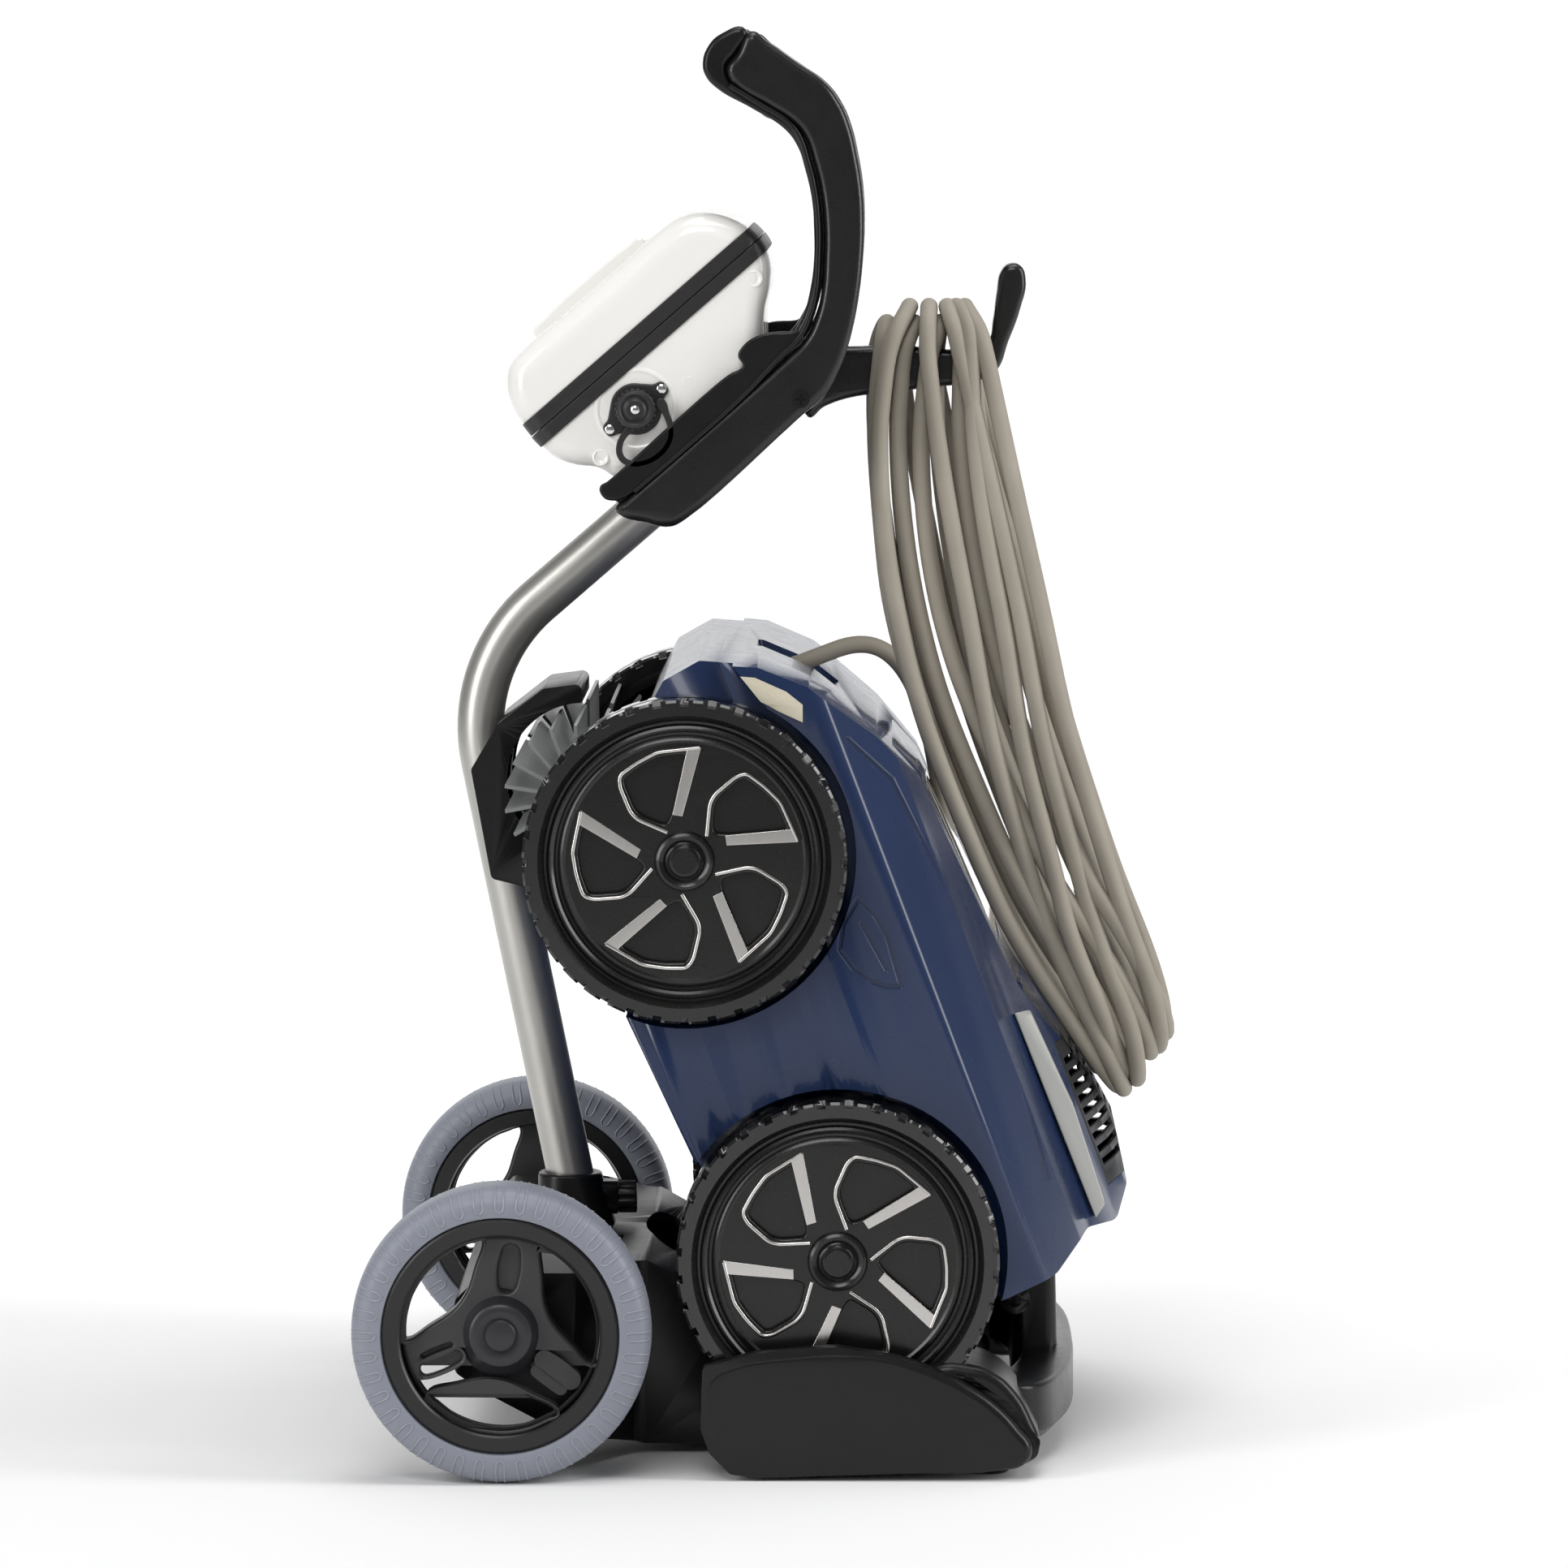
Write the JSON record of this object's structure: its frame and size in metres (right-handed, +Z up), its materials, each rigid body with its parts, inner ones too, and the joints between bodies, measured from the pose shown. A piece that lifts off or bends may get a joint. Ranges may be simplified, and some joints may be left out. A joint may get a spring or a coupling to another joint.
{
  "type": "robotic pool cleaner on transport caddy",
  "caption": "Robotic pool cleaner parked nose-up on a two-wheeled caddy, with its control box in the handle cradle and its floating cable coiled on the rear hook.",
  "frame": {"origin": "on the ground under the middle of the object", "axes": "+Z up, +X from the caddy wheels towards the front bumper, the near side is -Y"},
  "size_m": [0.482, 0.516, 0.8288],
  "materials": {
    "black_plastic": "satin",
    "deck_plastic": "satin",
    "tyre_grey": "satin",
    "rim_plastic": "satin",
    "cap_plastic": "satin",
    "steel": "satin",
    "chrome_screw": "polished",
    "tube_aluminium": "satin",
    "blue_shell": "gloss",
    "window_smoke": "gloss",
    "grille_black": "matte",
    "badge_ivory": "satin",
    "strip_grey": "satin",
    "wheel_black": "gloss",
    "tread_black": "gloss",
    "brush_rubber": "satin",
    "motor_housing": "matte",
    "box_white": "gloss",
    "seal_black": "satin",
    "button_grey": "satin",
    "cable_taupe": "satin"
  },
  "bodies": {
    "caddy": {"badge_far": "badge_ivory", "badge_near": "badge_ivory", "base_deck": "deck_plastic", "base_feet": "seal_black", "cable_coil": "cable_taupe", "cable_hook": "black_plastic", "cable_lead": "cable_taupe", "cable_plug": "seal_black", "cable_swivel": "cable_taupe", "cradle_shell": "black_plastic", "cradle_tray": "black_plastic", "exhaust_grille": "grille_black", "frame_screws": "chrome_screw", "frame_tube": "tube_aluminium", "front_rail": "black_plastic", "lid_window": "window_smoke", "pump_motor": "motor_housing", "rear_strip_far": "strip_grey", "rear_strip_near": "strip_grey", "robot_axle_stubs": "steel", "robot_lid": "blue_shell", "robot_lower_shell": "blue_shell", "robot_saddle": "black_plastic", "robot_upper_shell": "blue_shell", "tube_collar": "black_plastic", "wheel_axle": "steel", "wheel_trough_far": "black_plastic", "wheel_trough_near": "black_plastic"},
    "clamp_knob": {"clamp_knob": "black_plastic"},
    "caddy_wheel_near": {"caddy_tyre_near": "tyre_grey", "caddy_rim_near": "rim_plastic", "caddy_cap_near": "cap_plastic"},
    "caddy_wheel_far": {"caddy_tyre_far": "tyre_grey", "caddy_rim_far": "rim_plastic", "caddy_cap_far": "cap_plastic"},
    "front_wheel_near": {"front_wheel_near": "wheel_black", "front_tread_near": "tread_black"},
    "front_wheel_far": {"front_wheel_far": "wheel_black", "front_tread_far": "tread_black"},
    "rear_wheel_near": {"rear_wheel_near": "wheel_black", "rear_tread_near": "tread_black"},
    "rear_wheel_far": {"rear_wheel_far": "wheel_black", "rear_tread_far": "tread_black"},
    "brush_near": {"brush_core_near": "motor_housing", "brush_fins_near": "brush_rubber"},
    "brush_far": {"brush_core_far": "motor_housing", "brush_fins_far": "brush_rubber"},
    "impeller": {"pump_impeller": "motor_housing"},
    "control_box": {"box_top_shell": "box_white", "box_bottom_shell": "box_white", "box_seal_band": "seal_black", "box_panel": "box_white", "box_socket": "seal_black", "socket_screws": "chrome_screw", "cap_strap": "seal_black"},
    "button_a": {"box_button_a": "button_grey"},
    "button_b": {"box_button_b": "button_grey"},
    "button_c": {"box_button_c": "button_grey"},
    "socket_cap": {"socket_cap": "seal_black"}
  },
  "joints": [
    {"name": "caddy_wheel_near_spin", "type": "hinge", "parent": "caddy", "child": "caddy_wheel_near", "pos_m": [-0.139, -0.235, 0.086], "axis": [0, 1, 0], "continuous": true},
    {"name": "caddy_wheel_far_spin", "type": "hinge", "parent": "caddy", "child": "caddy_wheel_far", "pos_m": [-0.139, 0.235, 0.086], "axis": [0, 1, 0], "continuous": true},
    {"name": "front_wheel_near_spin", "type": "hinge", "parent": "caddy", "child": "front_wheel_near", "pos_m": [-0.03431, -0.2025, 0.3547], "axis": [0, 1, 0], "continuous": true},
    {"name": "front_wheel_far_spin", "type": "hinge", "parent": "caddy", "child": "front_wheel_far", "pos_m": [-0.03431, 0.2025, 0.3547], "axis": [0, 1, 0], "continuous": true},
    {"name": "rear_wheel_near_spin", "type": "hinge", "parent": "caddy", "child": "rear_wheel_near", "pos_m": [0.0534, -0.2025, 0.1238], "axis": [0, 1, 0], "continuous": true},
    {"name": "rear_wheel_far_spin", "type": "hinge", "parent": "caddy", "child": "rear_wheel_far", "pos_m": [0.0534, 0.2025, 0.1238], "axis": [0, 1, 0], "continuous": true},
    {"name": "brush_near_spin", "type": "hinge", "parent": "caddy", "child": "brush_near", "pos_m": [-0.09783, -0.096, 0.38673], "axis": [0, 1, 0], "continuous": true},
    {"name": "brush_far_spin", "type": "hinge", "parent": "caddy", "child": "brush_far", "pos_m": [-0.09783, 0.096, 0.38673], "axis": [0, 1, 0], "continuous": true},
    {"name": "impeller_spin", "type": "hinge", "parent": "caddy", "child": "impeller", "pos_m": [0.14899, 0, 0.17348], "axis": [0.9348, 0, 0.3551], "continuous": true},
    {"name": "clamp_knob_turn", "type": "hinge", "parent": "caddy", "child": "clamp_knob", "pos_m": [-0.0801, 0, 0.13], "axis": [1, 0, 0], "range_deg": [0, 270]},
    {"name": "box_lift", "type": "slide", "parent": "caddy", "child": "control_box", "axis": [-0.6561, 0, 0.7547], "range_m": [0, 0.13]},
    {"name": "button_a_press", "type": "slide", "parent": "control_box", "child": "button_a", "axis": [0.6561, 0, -0.7547], "range_m": [0, 0.0015], "stiffness_N_per_m": 300, "springref_m": -0.001},
    {"name": "button_b_press", "type": "slide", "parent": "control_box", "child": "button_b", "axis": [0.6561, 0, -0.7547], "range_m": [0, 0.0015], "stiffness_N_per_m": 300, "springref_m": -0.001},
    {"name": "button_c_press", "type": "slide", "parent": "control_box", "child": "button_c", "axis": [0.6561, 0, -0.7547], "range_m": [0, 0.0015], "stiffness_N_per_m": 300, "springref_m": -0.001},
    {"name": "socket_cap_turn", "type": "hinge", "parent": "control_box", "child": "socket_cap", "pos_m": [-0.06531, -0.11, 0.60858], "axis": [0, 1, 0], "range_deg": [0, 90]}
  ],
  "couplings": [
    {"joint": "rear_wheel_near_spin", "follows": "front_wheel_near_spin", "ratio": 1},
    {"joint": "rear_wheel_far_spin", "follows": "front_wheel_far_spin", "ratio": 1},
    {"joint": "brush_near_spin", "follows": "front_wheel_near_spin", "ratio": 1.5},
    {"joint": "brush_far_spin", "follows": "front_wheel_far_spin", "ratio": 1.5}
  ]
}
